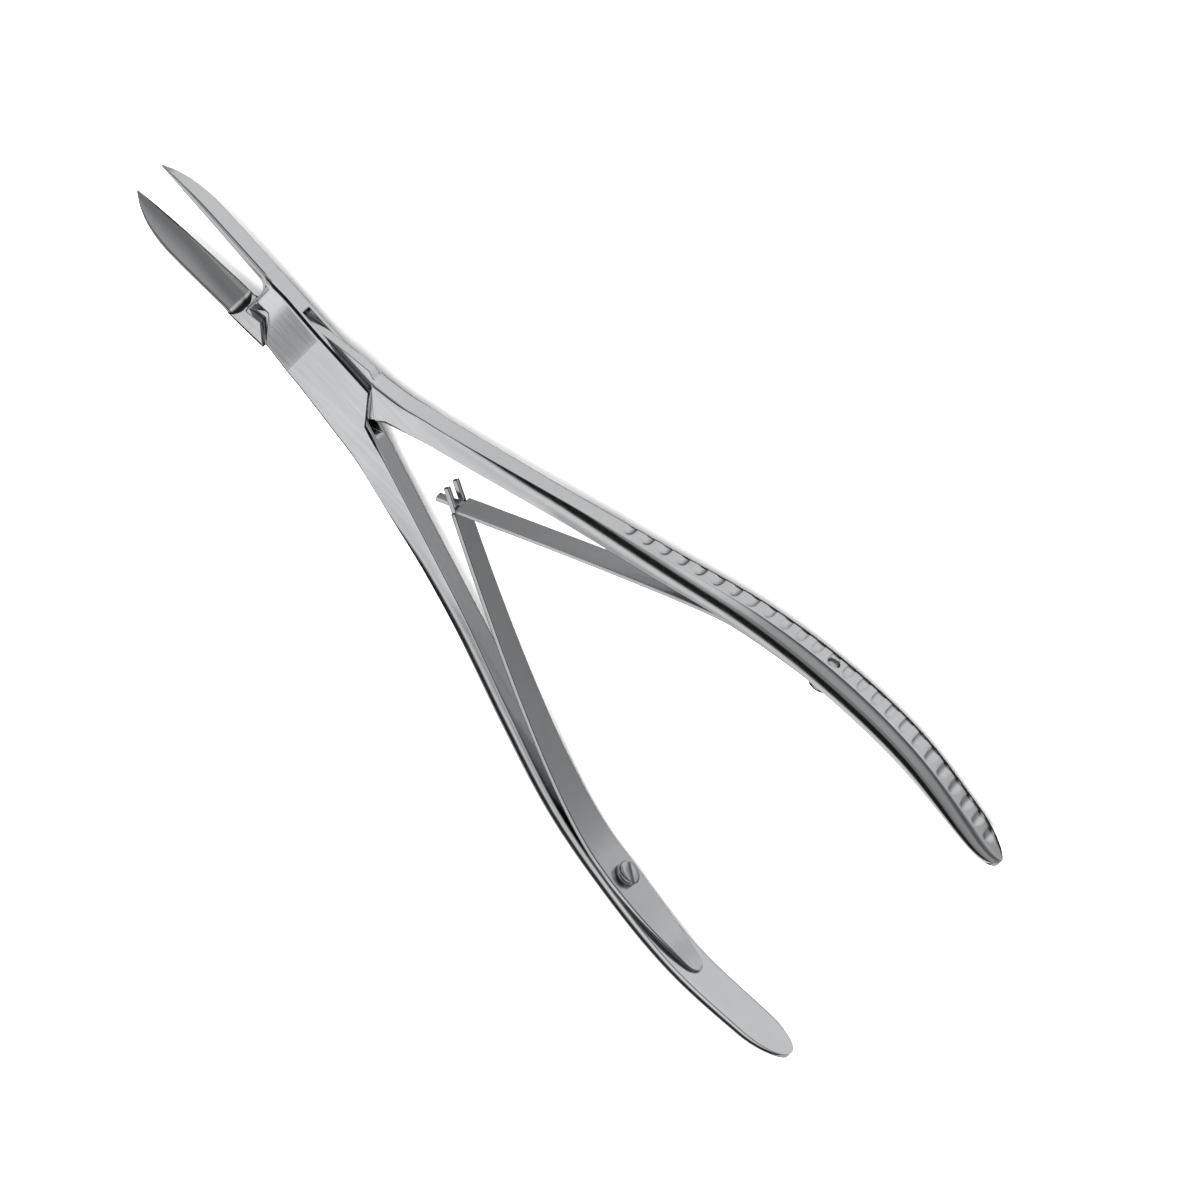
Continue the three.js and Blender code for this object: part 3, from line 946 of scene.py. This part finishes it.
def make_floor():
    bpy.ops.mesh.primitive_grid_add(x_subdivisions=4, y_subdivisions=4, size=FLOOR_SIZE, location=(0, 0, 0))
    floor = bpy.context.active_object
    floor.name = "floor"
    paper = bpy.data.materials.new("white paper")
    paper.use_nodes = True
    shader = paper.node_tree.nodes["Principled BSDF"]
    shader.inputs["Roughness"].default_value = 0.9
    shader.inputs["Specular IOR Level"].default_value = 0.1
    shader.inputs["Base Color"].default_value = (0.92, 0.92, 0.92, 1)
    floor.data.materials.append(paper)
    floor.visible_glossy = False


def overhead_light():
    light = bpy.data.lights.new("overhead light", "AREA")
    light.shape = "RECTANGLE"
    light.size = LIGHT_SIZE
    light.size_y = LIGHT_SIZE
    light.energy = LIGHT_POWER
    lamp = bpy.data.objects.new("overhead light", light)
    lamp.location = (0.0, 0.0, LIGHT_HEIGHT)
    lamp.visible_glossy = False
    scene.collection.objects.link(lamp)


# What the steel reflects: brightness by direction round the X axis, in degrees, where 0 is straight up,
# +90 is +Y and -90 is -Y. There is one list for reflections toward the tips, one for those near the
# middle and one for those toward the handles. On the -Y side they share what lies below and above.
BELOW = [(-168, 0.02), (-154, 0.3)]
ABOVE = [(-89, 0.02), (-60, 0.02), (-50, 0.85), (-35, 0.95), (-16, 0.8)]
TOWARD_TIPS = BELOW + [(-140, 0.6), (-98, 0.6)] + ABOVE + [
    (-5, 0.02), (24, 0.02), (38, 0.5), (70, 0.9), (140, 0.9), (150, 0.24), (164, 0.2), (172, 0.02),
]
MIDDLE = BELOW + [(-140, 0.6), (-98, 0.6)] + ABOVE + [
    (-5, 0.012), (28, 0.012), (38, 0.24), (50, 0.2), (66, 0.4), (92, 0.4), (112, 0.1), (120, 0.1),
    (134, 0.85), (145, 0.75), (162, 0.66), (172, 0.02),
]
TOWARD_HANDLES = BELOW + [(-140, 0.5), (-98, 0.5)] + ABOVE + [
    (-5, 0.012), (28, 0.01), (46, 0.2), (70, 0.3), (104, 0.36), (113, 0.1), (120, 0.1), (134, 0.5),
    (147, 0.5), (152, 0.28), (164, 0.24), (172, 0.02),
]
# Where the shade falls that the box arm's ground hollow reflects: 1 is all of it
DISH_SHADE = [(-50, 0), (-42, 1), (-31, 1), (-22, 0)]


def make_world():
    world = bpy.data.worlds.new("studio")
    scene.world = world
    world.use_nodes = True
    nodes, links = world.node_tree.nodes, world.node_tree.links
    parts = nodes.new("ShaderNodeSeparateXYZ")
    links.new(nodes.new("ShaderNodeTexCoord").outputs["Generated"], parts.inputs["Vector"])

    def math_node(operation, first, second):
        node = nodes.new("ShaderNodeMath")
        node.operation = operation
        for socket, value in zip(node.inputs, (first, second)):
            if isinstance(value, float):
                socket.default_value = value
            else:
                links.new(value, socket)
        return node.outputs["Value"]

    def ranged(value, low, high, start=0.0, end=1.0, interpolation="LINEAR"):
        node = nodes.new("ShaderNodeMapRange")
        node.interpolation_type = interpolation
        for socket, number in (("From Min", low), ("From Max", high), ("To Min", start), ("To Max", end)):
            node.inputs[socket].default_value = number
        links.new(value, node.inputs["Value"])
        return node.outputs["Result"]

    along = parts.outputs["X"]
    turn = ranged(math_node("ARCTAN2", parts.outputs["Y"], parts.outputs["Z"]), -math.pi, math.pi)

    def bands(levels):
        node = nodes.new("ShaderNodeValToRGB")
        node.color_ramp.interpolation = "EASE"
        stops = node.color_ramp.elements
        while len(stops) > 1:
            stops.remove(stops[-1])
        for index, (degrees, level) in enumerate(levels):
            stop = stops[0] if index == 0 else stops.new((degrees + 180) / 360)
            stop.position = (degrees + 180) / 360
            stop.color = (level, level, level, 1)
        links.new(turn, node.inputs["Fac"])
        return node.outputs["Color"]

    def blended(share, first, second):
        node = nodes.new("ShaderNodeMix")
        node.data_type = "RGBA"
        for socket, value in (("Factor", share), ("A", first), ("B", second)):
            links.new(value, node.inputs[socket])
        return node.outputs["Result"]

    near_tips = ranged(along, -0.58, -0.36, interpolation="SMOOTHSTEP")
    near_handles = ranged(along, 0.05, 0.35, interpolation="SMOOTHSTEP")
    near_side = blended(near_tips, bands(TOWARD_TIPS), bands(MIDDLE))
    surround = blended(near_handles, near_side, bands(TOWARD_HANDLES))

    # The surround is dimmed far toward the tips, and by the shade just ahead of the middle
    flag = ranged(along, -0.92, -0.6, start=0.02)
    just_ahead = ranged(along, -0.03, -0.075, end=0.62)
    shade = math_node("MULTIPLY", bands(DISH_SHADE), just_ahead)
    dimming = math_node("MULTIPLY", math_node("SUBTRACT", 1.0, shade), flag)
    dimmed = nodes.new("ShaderNodeVectorMath")
    dimmed.operation = "SCALE"
    links.new(surround, dimmed.inputs[0])
    links.new(dimming, dimmed.inputs["Scale"])
    sky = nodes["Background"]
    sky.inputs["Strength"].default_value = 1.0
    links.new(dimmed.outputs["Vector"], sky.inputs["Color"])


CAMERA_TILT = 35.0
CAMERA_ROLL = 46.16
DISTANCE = 2.0
LENS = 381.6
AIM = Vector((0.0121, 0.0069, 0))


def make_camera():
    """Looks down from the +Y side, rolled so that the blades point to the upper left."""
    tilt, roll = math.radians(CAMERA_TILT), math.radians(CAMERA_ROLL)
    back = Vector((0, math.sin(tilt), math.cos(tilt)))
    right = Vector((math.cos(roll), math.sin(roll) * back.z, -math.sin(roll) * back.y))
    up = back.cross(right)
    low, high = size_before
    target = (low + high) / 2 + AIM
    target.z = PIVOT.z
    lens = bpy.data.cameras.new("camera")
    lens.lens = LENS
    lens.sensor_width = 36
    lens.clip_start = 0.01
    camera = bpy.data.objects.new("camera", lens)
    place = Matrix.Translation(target + back * DISTANCE)
    camera.matrix_world = place @ Matrix((right, up, back)).transposed().to_4x4()
    scene.collection.objects.link(camera)
    scene.camera = camera


make_floor()
make_world()
overhead_light()
make_camera()
scene.view_settings.view_transform = "Standard"
